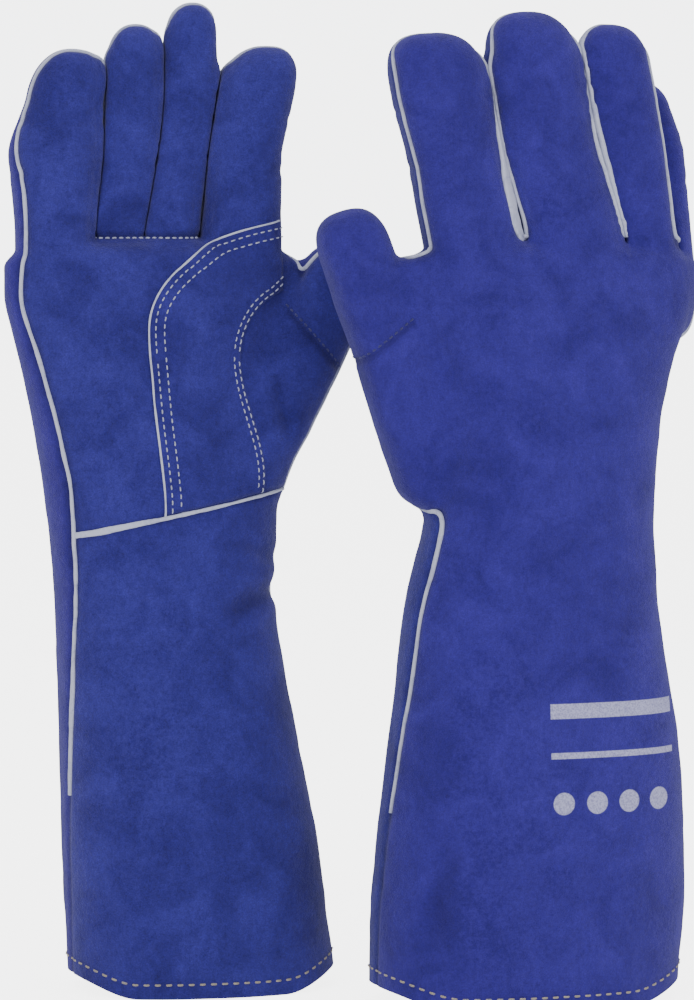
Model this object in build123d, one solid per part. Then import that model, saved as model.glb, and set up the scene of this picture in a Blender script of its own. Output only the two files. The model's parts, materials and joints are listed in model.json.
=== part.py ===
"""A pair of leather welding gauntlets, standing on their open cuffs, in millimetres.

Row frame: +Z up, the cuffs' hems on Z = 0, X across the pair, and the origin on the floor midway between
the gloves. Both gloves are right-hand ones. Glove 1 stands palm forward (-Y) and glove 2 back forward.

Each glove is modelled in its own frame: +Z to the fingertips, +X to the thumb, -Y out of the palm. It is a
hand of nested layers round one cavity. Leather is outside, split into backs and fronts by the seam plane
with a welt strip in the seam, and the cloth lining is inside. Soft pieces are cut at the lines where the
glove bends, with a V-shaped gap on the side that closes.
"""

import math
import os

from build123d import *

# Driving dimensions of the materials.
LEATHER = 1.5
LINING = 1.2
LAYER_GAP = 0.3
WELT_WIDTH = 2.0
WELT_PROUD = 0.9
PATCH_THICKNESS = 1.1
PATCH_GAP = 0.15
THREAD = 0.5
THREAD_WIDTH = 0.9
SEAM_CLEARANCE = 0.05

# Heights that both gloves share.
WRIST_Z = 198.0
KNUCKLE_Z = 330.0
HEM_CORNER_RISE = 14.0
HEM_FLAT_SHARE = 0.5
LINING_START_Z = 4.0
BELOW = 20.0
ABOVE = 460.0
REACH = 300.0
WIDE = 120.0
THUMB_ROOM = 24.0
PALM_REACH = 60.0
WRIST_SEAM_RISE = 1.0
UP = Vector(0, 0, 1)

# How far the glove bends at each line, in degrees, and half the gap left at a hinge line.
WRIST_BEND = 25.0
FINGER_BEND = 70.0
THUMB_BEND = 30.0
THUMB_BEND_TO_PALM = 75.0
HINGE_GAP = 0.3

FINGER_DEPTH_SHARE = 0.88
FINGER_DEPTH_MOST = 14.0
# A little finger that is turned edge on, in front of its neighbour, is deeper than it is wide.
EDGE_ON_DEPTH_SHARE = 1.3
# A fingertip is a dome, closed through these angles up its side.
DOME_ANGLES = (25, 50, 68, 80)

# Each glove: the turn about Z and place of its frame, its body sections (z, x, half width, half depth), and
# its digits as centres and half widths (x, y, z, half width) from the root inside the palm to the head, with
# the height of the tip. The thumb's last item is how far its tip reaches past its head.
GLOVES = {
    "glove1": {
        "turn": 12.0,
        "place": (-72.3, 13.4),
        "body": (
            (0, 13, 57, 36),
            (60, 7, 53.5, 34.5),
            (120, 0, 48.5, 32),
            (165, -4.5, 45, 29.5),
            (200, -4, 48, 27.5),
            (245, -9, 51, 25),
            (285, -13, 56, 21),
            (306, -13, 55, 14),
        ),
        "fingers": {
            "index": (((26, 0, 280, 14), (29.7, 0, 312, 16.1), (30.2, 0, 345, 14), (35.3, 0, 370, 14.8)), 387),
            "middle": (
                ((-3, 1, 280, 11), (-1, 1, 312, 11.7), (4.6, 1, 345, 8.7), (8.1, 1, 374, 10.1), (8.3, 1, 386, 10.3)),
                405,
            ),
            "ring": (((-25, 1, 280, 8), (-23.3, 1, 312, 7.6), (-17.4, 1, 345, 10.1), (-15.9, 1, 372, 11.2)), 396),
            "little": (((-47, 0, 280, 14), (-49.5, 0, 312, 15.8), (-45.2, 0, 345, 14.9), (-41.2, 0, 366, 11.4)), 386),
        },
        "edge_on": (),
        "thumb": (((30, -2, 216, 17), (50, -4, 256, 18), (66, -5, 288, 16)), 20),
    },
    "glove2": {
        "turn": 195.0,
        "place": (77.2, -10.6),
        "body": (
            (0, 7, 64, 38),
            (50, 4, 65.5, 38),
            (100, 2, 61, 35.5),
            (160, 3, 52, 31),
            (203, -1, 46, 28),
            (245, -4, 48, 25),
            (285, -9, 54, 21),
            (306, -8, 55, 14),
        ),
        "fingers": {
            "index": (((25, 0, 280, 16), (29.4, 0, 312, 20.2), (36.9, 0, 345, 16.8), (42.1, 0, 370, 18.8)), 391),
            "middle": (((-13, 2, 280, 16), (-14, 2, 312, 19.3), (-2.3, 2, 345, 18.3), (2.9, 2, 376, 18.2)), 400),
            "ring": (((-44, 1, 280, 10), (-46.6, 2, 312, 9.6), (-37.8, 3, 345, 13), (-31.7, 3, 374, 13.5)), 395),
            "little": (((-53, -3, 280, 9), (-59.6, -9, 312, 7), (-59.7, -17, 345, 6.8), (-57, -22, 357, 6.7)), 372),
        },
        "edge_on": ("little",),
        "thumb": (((38, -2, 212, 16), (58, -4, 258, 15.5), (74, -5, 300, 14.5)), 22),
    },
}

# The palm patch: its outer edge from the wrist up to the index finger, then its inner edge from the thumb's
# fork back down to the wrist, as (x, z) in the glove's own frame.
PATCH_BASE_Z = 204.0
PATCH_OUTER = (
    (-8, PATCH_BASE_Z), (-11, 232), (-13.5, 262), (-12.5, 281), (-6, 292), (4, 301), (17, 309.5), (30, 314),
    (43.4, 317),
)
PATCH_INNER = ((45, 288), (32, 280), (25.5, 266), (29, 240), (34, PATCH_BASE_Z))
STITCH_ROWS = 2
STITCH_INSET = 2.6
STITCH_SPACING = 3.2


def ellipse_at(plane, half_width, half_depth):
    return plane * Ellipse(half_width, half_depth)


def body_solid(glove, inset):
    """The cuff and hand without digits, filled, with its surface moved inwards by inset."""
    sections = []
    for z, x, half_width, half_depth in glove["body"]:
        low_end = z == 0
        place = Plane((x, 0, -BELOW if low_end else z))
        sections.append(ellipse_at(place, half_width - inset, half_depth - inset))
    top_z, top_x, top_width, top_depth = glove["body"][-1]
    place = Plane((top_x, 0, top_z + 5 - inset))
    sections.append(ellipse_at(place, top_width * 0.95 - inset, top_depth * 0.6 - inset / 2))
    return loft(sections, ruled=True)


def digit_solid(centres, tip_point, depth_share, inset):
    """A finger or thumb, filled: ellipses along its centre line, closed by a dome at the tip."""
    points = [Vector(x, y, z) for x, y, z, _ in centres]
    sections = []
    for i, point in enumerate(points):
        before = points[max(i - 1, 0)]
        after = points[i + 1] if i + 1 < len(points) else tip_point
        along = (after - before).normalized()
        place = Plane(point, x_dir=(along.Z, 0, -along.X), z_dir=along)
        half = centres[i][3]
        depth = min(half * depth_share, FINGER_DEPTH_MOST)
        sections.append(ellipse_at(place, half - inset, depth - inset))
    head, half = points[-1], centres[-1][3]
    depth = min(half * depth_share, FINGER_DEPTH_MOST)
    reach = tip_point - head
    along = reach.normalized()
    for angle in DOME_ANGLES:
        rise = math.sin(math.radians(angle)) * (reach.length - inset)
        narrow = math.cos(math.radians(angle))
        place = Plane(head + along * rise, x_dir=(along.Z, 0, -along.X), z_dir=along)
        sections.append(ellipse_at(place, (half - inset) * narrow, (depth - inset) * narrow))
    return loft(sections, ruled=True)


def finger_tip(centres, tip_z):
    """A fingertip carries on in the direction of its last stretch, up to the height tip_z."""
    (x0, y0, z0, _), (x1, y1, z1, _) = centres[-2:]
    share = (tip_z - z1) / (z1 - z0)
    return Vector(x1 + (x1 - x0) * share, y1 + (y1 - y0) * share, tip_z)


def thumb_tip(centres, reach):
    before, head = (Vector(*centre[:3]) for centre in centres[-2:])
    return head + (head - before).normalized() * reach


class Hinge:
    """A line where the glove bends: along is the way the digit points and bend the way it folds."""

    def __init__(self, pivot, along, bend, angle):
        self.pivot = Vector(*pivot)
        self.along = Vector(*along).normalized()
        self.bend = Vector(*bend).normalized()
        self.angle = angle
        self.axis = self.along.cross(self.bend)

    def room(self, side, ahead, half_width):
        """All ahead of, or behind, a line bent through half the hinge's angle at the pivot."""
        gap = HINGE_GAP * side
        slope = half_width * math.tan(math.radians(self.angle / 2)) * side
        corners = ((0, gap), (half_width, gap + slope), (half_width, ahead), (-half_width, ahead))
        place = Plane(self.pivot, x_dir=self.bend, z_dir=-self.axis)
        face = make_face(Polyline(*corners, (-half_width, gap), close=True))
        return extrude(place * face, half_width, both=True)

    def room_after(self, half_width):
        """The room of what the hinge moves."""
        return self.room(1, REACH, half_width)

    def room_before(self, half_width):
        """The room of what stays."""
        return self.room(-1, -REACH, half_width)

    def room_not_before(self, half_width):
        """What is cut off what stays: the moving room and the V-shaped gap."""
        return self.room(-1, REACH, half_width)


def finger_hinge(glove, finger):
    centres, _ = glove["fingers"][finger]
    low, high = centres[1], centres[2]
    share = (KNUCKLE_Z - low[2]) / (high[2] - low[2])
    x = low[0] + (high[0] - low[0]) * share
    return Hinge((x, 0, KNUCKLE_Z), (0, 0, 1), (0, -1, 0), FINGER_BEND)


def thumb_hinge(glove):
    centres, _ = glove["thumb"]
    low, high = Vector(*centres[1][:3]), Vector(*centres[2][:3])
    along = (high - low).normalized()
    palm = Vector(0, -1, 0)
    palm = (palm - along * palm.dot(along)).normalized()
    inwards = palm.cross(along)
    tilt = math.radians(THUMB_BEND_TO_PALM)
    return Hinge(low, along, inwards * math.cos(tilt) + palm * math.sin(tilt), THUMB_BEND)


def wrist_hinge(glove):
    x = next(section[1] for section in glove["body"] if section[0] >= WRIST_Z)
    return Hinge((x, 0, WRIST_Z), (0, 0, 1), (0, 1, 0), WRIST_BEND)


def digits(glove, inset):
    """Each digit's filled solid by name."""
    solids = {}
    for name, (centres, tip_z) in glove["fingers"].items():
        depth_share = EDGE_ON_DEPTH_SHARE if name in glove["edge_on"] else FINGER_DEPTH_SHARE
        solids[name] = digit_solid(centres, finger_tip(centres, tip_z), depth_share, inset)
    centres, reach = glove["thumb"]
    solids["thumb"] = digit_solid(centres, thumb_tip(centres, reach), FINGER_DEPTH_SHARE, inset)
    return solids


def whole_solid(glove, inset):
    solid = body_solid(glove, inset)
    for digit in digits(glove, inset).values():
        solid = solid + digit
    return solid


def hem_room(glove, bottom):
    """All above the hem line, which is level in the middle and rises at the seam ends."""
    _, x, half_width, _ = glove["body"][0]
    flat, end = half_width * HEM_FLAT_SHARE, half_width + 10
    right = Spline((x + flat, bottom), (x + end, bottom + HEM_CORNER_RISE), tangents=((1, 0), (1, 1)))
    left = Spline((x - end, bottom + HEM_CORNER_RISE), (x - flat, bottom), tangents=((1, -1), (1, 0)))
    base = Line((x - flat, bottom), (x + flat, bottom))
    rest = Polyline((x + end, bottom + HEM_CORNER_RISE), (x + 120, bottom + HEM_CORNER_RISE), (x + 120, ABOVE),
                    (x - 120, ABOVE), (x - 120, bottom + HEM_CORNER_RISE), (x - end, bottom + HEM_CORNER_RISE))
    return extrude(Plane.XZ * make_face([left, base, right, rest]), 100, both=True)


def seam_slab(point, along, half_thickness):
    """A slab through point that holds the across direction and along: where a seam's welt lies."""
    across = Vector(along.Z, 0, -along.X).normalized()
    place = Plane(point, x_dir=across, z_dir=across.cross(along))
    return place * Box(400, 1000, 2 * half_thickness)


def seam_side(point, along, side, clear):
    """All on one side of the seam plane: side 1 is the back of the hand and -1 the palm."""
    across = Vector(along.Z, 0, -along.X).normalized()
    normal = across.cross(along)
    if normal.Y * side < 0:
        normal = -normal
    place = Plane(point + normal * (clear + 100), x_dir=across, z_dir=normal)
    return place * Box(400, 1000, 200)


def split_at_seam(leather, welt_layer, point, along):
    """Back, front and welt of a stretch of the glove, parted at its seam plane."""
    half_welt = WELT_WIDTH / 2
    back = leather & seam_side(point, along, 1, half_welt + SEAM_CLEARANCE)
    front = leather & seam_side(point, along, -1, half_welt + SEAM_CLEARANCE)
    return back, front, welt_layer & seam_slab(point, along, half_welt)


def patch_face():
    outer = Spline(*PATCH_OUTER)
    inner = Spline(*PATCH_INNER)
    top = Line(PATCH_OUTER[-1], PATCH_INNER[0])
    base = Line(PATCH_INNER[-1], PATCH_OUTER[0])
    return make_face([outer, top, inner, base])


def moved_right(points, distance):
    """Points of a line moved to the right of the way it runs."""
    moved = []
    for i, point in enumerate(points):
        before, after = points[max(i - 1, 0)], points[min(i + 1, len(points) - 1)]
        run, rise = after[0] - before[0], after[1] - before[1]
        share = distance / math.hypot(run, rise)
        moved.append((point[0] + rise * share, point[1] - run * share))
    return moved


def stitch_face(edge, row):
    """A band one thread wide that follows an edge of the patch, inside it."""
    inset = STITCH_INSET + row * STITCH_SPACING
    near, far = moved_right(edge, inset), moved_right(edge, inset + THREAD_WIDTH)
    return make_face([Spline(*near), Line(near[-1], far[-1]), Spline(*far), Line(far[0], near[0])])


def palm_prism(face):
    """A face drawn in X and Z, carried forward through the palm from just in front of the side welts."""
    return extrude(Plane.XZ.offset(WELT_WIDTH / 2 + SEAM_CLEARANCE) * face, PALM_REACH)


def palm_overlay(glove, low, high, prism):
    """What lies over the palm's surface between two heights above it, inside prism."""
    return (whole_solid(glove, -high) & prism) - whole_solid(glove, -low)


class Layers:
    """The glove's layers, each a closed shell round the cavity before the glove is cut into pieces."""

    def __init__(self, solid_at):
        skin, leather_in = solid_at(0), solid_at(LEATHER)
        self.leather = skin - leather_in
        self.welt = solid_at(-WELT_PROUD) - leather_in
        self.lining = solid_at(LEATHER + LAYER_GAP) - solid_at(LEATHER + LAYER_GAP + LINING)


def cuff_pieces(glove, layers, wrist):
    room = wrist.room_before(WIDE) & hem_room(glove, 0)
    back, front, welt = split_at_seam(layers.leather & room, layers.welt & room, Vector(), UP)
    lining = layers.lining & wrist.room_before(WIDE) & hem_room(glove, LINING_START_Z)
    return {"cuff_back": back, "cuff_front": front, "cuff_welts": welt, "cuff_lining": lining}


def hand_pieces(glove, layers, wrist, fingers, thumb):
    def cut_out(shell):
        shell = shell & wrist.room_after(WIDE)
        shell = shell - fingers.room_not_before(WIDE)
        return shell - thumb.room_not_before(THUMB_ROOM)

    back, front, side_welts = split_at_seam(cut_out(layers.leather), cut_out(layers.welt), Vector(), UP)
    wrist_low = WRIST_Z + HINGE_GAP + WRIST_SEAM_RISE
    seam_room = Pos(0, -WIDE / 2 - WELT_WIDTH, wrist_low + WELT_WIDTH / 2) * Box(2 * WIDE, WIDE, WELT_WIDTH)
    wide_seam = Pos(0, -WIDE / 2, wrist_low - 50 + WELT_WIDTH + SEAM_CLEARANCE) * Box(2 * WIDE, WIDE, 100)
    wrist_welt = cut_out(layers.welt) & seam_room
    thread_low = PATCH_GAP + PATCH_THICKNESS + PATCH_GAP
    stitching = Part()
    for edge in (PATCH_OUTER, PATCH_INNER):
        for row in range(STITCH_ROWS):
            prism = palm_prism(stitch_face(edge, row))
            stitching += palm_overlay(glove, thread_low, thread_low + THREAD, prism)
    patch = palm_overlay(glove, PATCH_GAP, PATCH_GAP + PATCH_THICKNESS, palm_prism(patch_face()))
    return {
        "hand_back": back,
        "palm": front - wide_seam,
        "palm_patch": patch,
        "patch_stitching": stitching,
        "hand_welts": side_welts + wrist_welt,
        "hand_lining": cut_out(layers.lining),
    }


def digit_pieces(name, layers, hinge, half_room, point, along):
    room = hinge.room_after(half_room)
    back, front, welt = split_at_seam(layers.leather & room, layers.welt & room, point, along)
    return {
        f"{name}_back": back,
        f"{name}_front": front,
        f"{name}_welt": welt,
        f"{name}_lining": layers.lining & room,
    }


def glove_pieces(glove):
    """Every piece of one glove, in the glove's own frame."""
    wrist, thumb = wrist_hinge(glove), thumb_hinge(glove)
    whole = Layers(lambda inset: whole_solid(glove, inset))
    fingers = finger_hinge(glove, "middle")
    pieces = cuff_pieces(glove, whole, wrist)
    pieces.update(hand_pieces(glove, whole, wrist, fingers, thumb))
    for name in glove["fingers"]:
        centres, _ = glove["fingers"][name]
        layers = Layers(lambda inset, name=name: digits(glove, inset)[name])
        low, high = Vector(*centres[-2][:3]), Vector(*centres[-1][:3])
        along = (high - low).normalized()
        pieces.update(digit_pieces(name, layers, fingers, WIDE, low, along))
    layers = Layers(lambda inset: digits(glove, inset)["thumb"])
    pieces.update(digit_pieces("thumb", layers, thumb, THUMB_ROOM, thumb.pivot, thumb.along))
    return pieces


def placing(glove):
    """Where a glove's own frame stands in the row frame."""
    return Pos(*glove["place"], 0) * Rot(0, 0, glove["turn"])


def build():
    os.makedirs("parts", exist_ok=True)
    for glove_name, glove in GLOVES.items():
        for name, piece in glove_pieces(glove).items():
            solids = [placing(glove) * solid for solid in piece.solids()]
            export_step(Compound(children=solids), f"parts/{glove_name}_{name}.step")


if __name__ == "__main__":
    build()
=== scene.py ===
"""A pair of leather welding gauntlets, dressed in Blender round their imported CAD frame.

Each glove is one smooth form measured from the CAD nodes: tapering tubes for the cuff and hand, the fingers
and the thumb, merged where they meet. The form is meshed once, then cut along its seams into leather panels
with real thickness. Welts, stitches and the lining are built on the same surface. Lengths are in millimetres
in a glove's own frame, and become metres in the row frame when a piece is made.
"""

import json
import math

import bpy
import numpy as np
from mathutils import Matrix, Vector


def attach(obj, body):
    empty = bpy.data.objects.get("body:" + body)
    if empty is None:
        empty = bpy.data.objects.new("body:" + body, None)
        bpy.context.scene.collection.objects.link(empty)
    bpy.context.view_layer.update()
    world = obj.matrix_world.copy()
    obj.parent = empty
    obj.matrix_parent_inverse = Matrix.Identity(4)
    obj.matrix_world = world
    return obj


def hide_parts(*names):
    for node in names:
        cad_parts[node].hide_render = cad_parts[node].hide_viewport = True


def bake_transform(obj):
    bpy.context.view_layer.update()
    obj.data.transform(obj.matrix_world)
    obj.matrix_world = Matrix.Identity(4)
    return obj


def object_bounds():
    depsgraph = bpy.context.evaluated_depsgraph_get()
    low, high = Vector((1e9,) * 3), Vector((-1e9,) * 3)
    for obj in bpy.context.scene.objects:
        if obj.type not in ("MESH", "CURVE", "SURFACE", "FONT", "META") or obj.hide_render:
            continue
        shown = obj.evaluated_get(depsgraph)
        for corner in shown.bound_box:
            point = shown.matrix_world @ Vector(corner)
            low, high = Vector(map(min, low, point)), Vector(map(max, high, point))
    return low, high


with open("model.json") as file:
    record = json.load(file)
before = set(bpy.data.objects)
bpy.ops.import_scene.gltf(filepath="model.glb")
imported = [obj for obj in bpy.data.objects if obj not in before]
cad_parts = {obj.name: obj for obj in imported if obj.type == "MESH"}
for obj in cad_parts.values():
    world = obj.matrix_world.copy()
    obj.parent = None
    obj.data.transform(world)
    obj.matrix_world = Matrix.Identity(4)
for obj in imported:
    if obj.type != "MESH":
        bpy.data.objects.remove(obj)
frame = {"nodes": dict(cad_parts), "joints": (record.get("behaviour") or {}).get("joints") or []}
cad_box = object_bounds()
JOINTS = {joint["name"]: joint for joint in frame["joints"]}
FINGERS = ("index", "middle", "ring", "little")
DIGITS = (*FINGERS, "thumb_root", "thumb")

# The mesh and the layers, in millimetres as all sizes are until the stage.
GRID = 1.25
LEATHER = 1.4
LINING_DEPTH = 1.8
LINING = 0.9
LINING_GRID = GRID * 1.6
LINING_ABOVE_HEM = 3.5

# The form: how square its sections are, how far its parts merge, and how its fingers fill out.
BLUNT = 2.35
FINGER_MERGE = 5.0
THUMB_MERGE = 9.0
HAND_TOP_DEPTH = 0.72
FINGER_SWELL = 0.7
SLIT_SWELL = 1.4
SLIT_FILLED = 0.44
SLIT_NARROW, SLIT_WIDE = 4.5, 8

# Seams: where they run, and how far a seam of a finger drops to the palm at the tip.
HEM_CORNER_RISE = 9.0
WRIST_SEAM_SLOPE = 0.2
FINGER_BASE = 19.5
THUMB_SEAM_WAY = 13.0
THUMB_ROOT_WAY = -4.0
THUMB_SEAM_SLOPE = 0.35
SEAM_TIP_DROP = 1.3
SEAM_MIX = 2.5

# Relief: how deep the leather stands in at seams, and its (depth, size of a wave) elsewhere.
SEAM_DENT = 0.9
WRINKLES = ((0.35, 14.0, 0), (0.14, 6.0, 71))
CUFF_WAVES = 1.2, 38.0
FINGER_CREASES = ((0.34, 0.35), (0.62, 0.3))
# How strongly the folds darken the suede's colour: painted shade in the creases.
FOLD_PAINTED_SHADE = 0.3

# Welts and the palm patch.
WELT_HEIGHT = 0.9
WELT_LIFT = 0.25
WRIST_WELT_WIDTH = 0.95
PATCH_RISE = 1.0
PATCH_ROUND = 1.3
PATCH_ROWS = (("outer", 3.0), ("outer", 6.6), ("inner", 1.3), ("inner", 3.4))
PATCH_BELOW = 10.0
PATCH_PART_Z = 262.0
PATCH_SEAM_GAP = 1.6

# Stitches: pitch, share of it that is thread, width, height and lift off the leather.
PATCH_STITCH = 3.1, 0.68, 0.62, 0.5, PATCH_RISE + 0.1
HEM_STITCH = 4.6, 0.62, 0.95, 0.55, 0.1
BASE_STITCH = 2.8, 0.75, 0.8, 0.55, 0.1
THUMB_STITCH = 2.8, 0.7, 0.7, 0.5, 0.05
HEM_STITCH_RISE = 6.0
THUMB_STITCH_PAST = 1.7

# How far from a joint the start and end points of its bend span lie.
WRIST_BEND_REACH = 30.0
THUMB_BEND_WAYS = (-3.0, 46.0)

# The print: bars as (bottom, top, near, far), with x in half widths of the cuff, and dots.
PRINT_INK = (0.50, 0.50, 0.72)
PRINT_BARS = ((118.0, 124.0, 0.0, 0.86), (102.0, 104.5, 0.0, 0.86))
PRINT_DOTS = (0.08, 0.30, 0.52, 0.74)
PRINT_DOT_Z = 84.0
PRINT_DOT = 4.5

# Dark and light tones of the two blues.
BACK_BLUE = (0.020, 0.0120, 0.160), (0.034, 0.0215, 0.240)
PALM_BLUE = (0.017, 0.0140, 0.140), (0.031, 0.0270, 0.222)

# The stage, in heights of the pair, and the camera, in metres and degrees.
FLOOR_REACH = 30
WORLD_LIGHT = 0.75
FLOOR_GLOW = 0.35
FLOOR_GLOW_SEEN = 4.0
LIGHTS = (
    ("key", (-1.5, -3.2, 3.4), 2.2, 75.0),
    ("fill", (2.6, -2.8, 1.8), 2.6, 40.0),
    ("top", (0.2, 0.6, 4.4), 2.0, 28.0),
)
CAMERA_ELEVATION = 4.0
CAMERA_DISTANCE = 1.8
FRAME_SHARE = 1.008

# What differs between the gloves. A seam is in millimetres to the back of a part's middle, and a turned seam
# goes farther on one side, towards the base. Outward widens a finger on its outer side. A wide welt is (side,
# share at the tip, share at the base), or for the hand (low, high, share). A fold is (start, end, side, depth
# and width), its ends as (x, z) and its side 1 on the back and -1 on the palm.
STYLES = {
    "glove1": {
        "seed": 3, "thumb_side_seam": 0, "thumb_side_above": 0, "little_side_seam": -17, "welt_width": 0.8,
        "welt_end_z": 82, "wide_welts": {"hand": (88, 128, 1.7)}, "blunt": {"index": 2.6},
        "turned_seams": {"little": (-1, -6.0)}, "outward": {"little": 3.2},
        "digit_seams": {"index": 4.5, "middle": 5, "ring": 4.5, "little": -3, "thumb": -5},
        "folds": (
            ((44, 258), (50, 224), -1, 1.6, 3.5),
            ((52, 168), (20, 156), -1, 1.8, 4.0),
            ((48, 176), (28, 186), -1, 0.9, 3.0),
            ((-40, 178), (-8, 186), -1, 0.7, 3.0),
        ),
    },
    "glove2": {
        "seed": 7, "thumb_side_seam": 12, "thumb_side_above": 5, "little_side_seam": 0, "welt_width": 0.75,
        "welt_end_z": 78, "blunt": {"index": 3.0, "middle": 2.7, "ring": 2.6, "thumb": 2.9},
        "turned_seams": {"index": (-1, 4.5), "middle": (-1, 3.0)}, "outward": {},
        "wide_welts": {"hand": (175, 205, 1.5), "index": (-1, 1.3, 3.6), "middle": (-1, 1.2, 2.2),
                       "ring": (1, 2.8, 3.2)},
        "digit_seams": {"index": 5, "middle": 5, "ring": 5.5, "little": 2, "thumb": -9},
        "folds": (
            ((46, 80), (54, 20), 1, 1.4, 4.5),
            ((44, 210), (34, 238), 1, 0.8, 3.5),
            ((-30, 190), (6, 184), 1, 0.6, 4.0),
        ),
    },
}


def unit(vector):
    vector = np.asarray(vector, float)
    return vector / np.linalg.norm(vector)


def ramp(value, low, high):
    """0 below low and 1 above high, smooth between."""
    share = np.clip((value - low) / (high - low), 0, 1)
    return share * share * (3 - 2 * share)


def merged(a, b, reach):
    """The union of two distance fields, rounded off where they meet."""
    mix = np.maximum(reach - np.abs(a - b), 0) / reach
    return np.minimum(a, b) - mix * mix * reach / 4


class Noise:
    """Smooth random values in space, the same in every run."""

    SIZE = 32

    def __init__(self, seed):
        self.values = np.random.RandomState(seed).rand(self.SIZE, self.SIZE, self.SIZE) * 2 - 1

    def at(self, points, scale):
        cell = points / scale
        low = np.floor(cell).astype(int)
        share = cell - low
        share = share * share * (3 - 2 * share)
        total = 0
        for corner in np.ndindex(2, 2, 2):
            weight = np.prod(np.where(corner, share, 1 - share), axis=1)
            i, j, k = ((low + corner) % self.SIZE).T
            total = total + weight * self.values[i, j, k]
        return total


class Own:
    """A glove's own frame: +X to the thumb, +Y out of the back, +Z to the fingertips, 0 under the wrist."""

    def __init__(self, glove):
        x = np.array(JOINTS[f"{glove}_middle_knuckle"]["axis"])
        wrist = JOINTS[f"{glove}_wrist"]["pos_m"]
        self.axes = np.array([x, (-x[1], x[0], 0), (0, 0, 1)])
        self.origin = np.array([wrist[0], wrist[1], 0])
        self.wrist_z = wrist[2] * 1000

    def from_row(self, points):
        return (np.asarray(points) - self.origin) @ self.axes.T * 1000

    def to_row(self, points):
        return np.asarray(points) / 1000 @ self.axes + self.origin


def cad_edges(own, nodes):
    """Both ends of every mesh edge of some CAD nodes."""
    ends = []
    for name in nodes:
        mesh = frame["nodes"][name].data
        co = np.zeros(len(mesh.vertices) * 3)
        mesh.vertices.foreach_get("co", co)
        pairs = np.zeros(len(mesh.edges) * 2, int)
        mesh.edges.foreach_get("vertices", pairs)
        ends.append(own.from_row(co.reshape(-1, 3))[pairs.reshape(-1, 2)])
    return np.concatenate(ends)


def slice_at(ends, height):
    """Where edges cross a height along their last axis, as points in the first two."""
    low, high = ends[:, 0], ends[:, 1]
    crosses = (low[:, 2] - height) * (high[:, 2] - height) < 0
    low, high = low[crosses], high[crosses]
    share = (height - low[:, 2:]) / (high[:, 2:] - low[:, 2:])
    return (low + (high - low) * share)[:, :2]


def outermost(points, centre, sectors=48):
    """The farthest point from centre in each sector round it."""
    away = points - centre
    sector = np.floor((np.arctan2(away[:, 1], away[:, 0]) / math.tau % 1) * sectors).astype(int)
    radius = np.linalg.norm(away, axis=1)
    return np.array([points[i[np.argmax(radius[i])]] for i in
                     (np.flatnonzero(sector == s) for s in range(sectors)) if len(i)])


def box_ring(points):
    """Centre and half sizes of a ring from its extremes."""
    low, high = points.min(0), points.max(0)
    return np.concatenate([(low + high) / 2, (high - low) / 2])


def fitted_ring(points, right):
    """Centre and half sizes of the ellipse through a ring's points left of right, where nothing joins it."""
    ring = outermost(points, points.mean(0))
    ring = ring[ring[:, 0] < right]
    x, y = ring.T
    a, b, c = np.linalg.lstsq(np.stack([x * x, x, y * y], 1), np.ones(len(x)), rcond=None)[0]
    centre = -b / (2 * a)
    level = 1 + a * centre * centre
    return np.array([centre, 0, math.sqrt(level / a), math.sqrt(level / c)])


class Tube:
    """A tapering round form along one direction, with domed ends.

    Its rings are rows of (way along, centre u, centre v, half width, half depth).
    """

    def __init__(self, rings, tip, dome, pivot=(0, 0, 0), along=(0, 0, 1), root=None, power=2.0, grow=0.0):
        rings = np.array(rings)
        self.pivot, self.along = np.array(pivot, float), unit(along)
        self.across = unit((self.along[2], 0, -self.along[0]))
        self.out = np.cross(self.along, self.across)
        self.tip, self.head, self.root, self.power = tip + grow, tip - dome, root, power
        self.ways = np.arange(rings[0, 0] - 20, tip + 20, 1.0)
        last = rings[-1] + (rings[-1] - rings[-2]) * 3
        last[3:] = rings[-1, 3:]
        rings = np.vstack([rings, last])
        soft = np.exp(-(np.arange(-9, 10) / 4.0) ** 2)
        soft /= soft.sum()
        self.tables = []
        for column in range(1, 5):
            wide = np.arange(self.ways[0] - 9, self.ways[-1] + 9.5, 1.0)
            self.tables.append(np.convolve(np.interp(wide, rings[:, 0], rings[:, column]), soft, "valid"))
        self.tables[2] = self.tables[2] + grow
        self.tables[3] = self.tables[3] + grow

    def local(self, points):
        away = points - self.pivot
        return away @ self.across, away @ self.out, away @ self.along

    def centre_out(self, way):
        return np.interp(way, self.ways, self.tables[1])

    def distance(self, points):
        u, v, way = self.local(points)
        size_way = np.minimum(way, self.head)
        du = u - np.interp(way, self.ways, self.tables[0])
        dv = v - np.interp(way, self.ways, self.tables[1])
        half_width = np.interp(size_way, self.ways, self.tables[2])
        half_depth = np.interp(size_way, self.ways, self.tables[3])
        dt = np.maximum(way - self.head, 0)
        share_t = dt / (self.tip - self.head)
        if self.root is not None:
            below = np.maximum(self.root - way, 0)
            dt, share_t = dt + below, share_t + below / 15
        share = (np.abs(du / half_width) ** self.power + np.abs(dv / half_depth) ** self.power
                 + share_t ** self.power) ** (1 / self.power)
        radius = np.sqrt(du * du + dv * dv + dt * dt)
        return radius * (1 - 1 / np.maximum(share, 1e-3))


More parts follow.
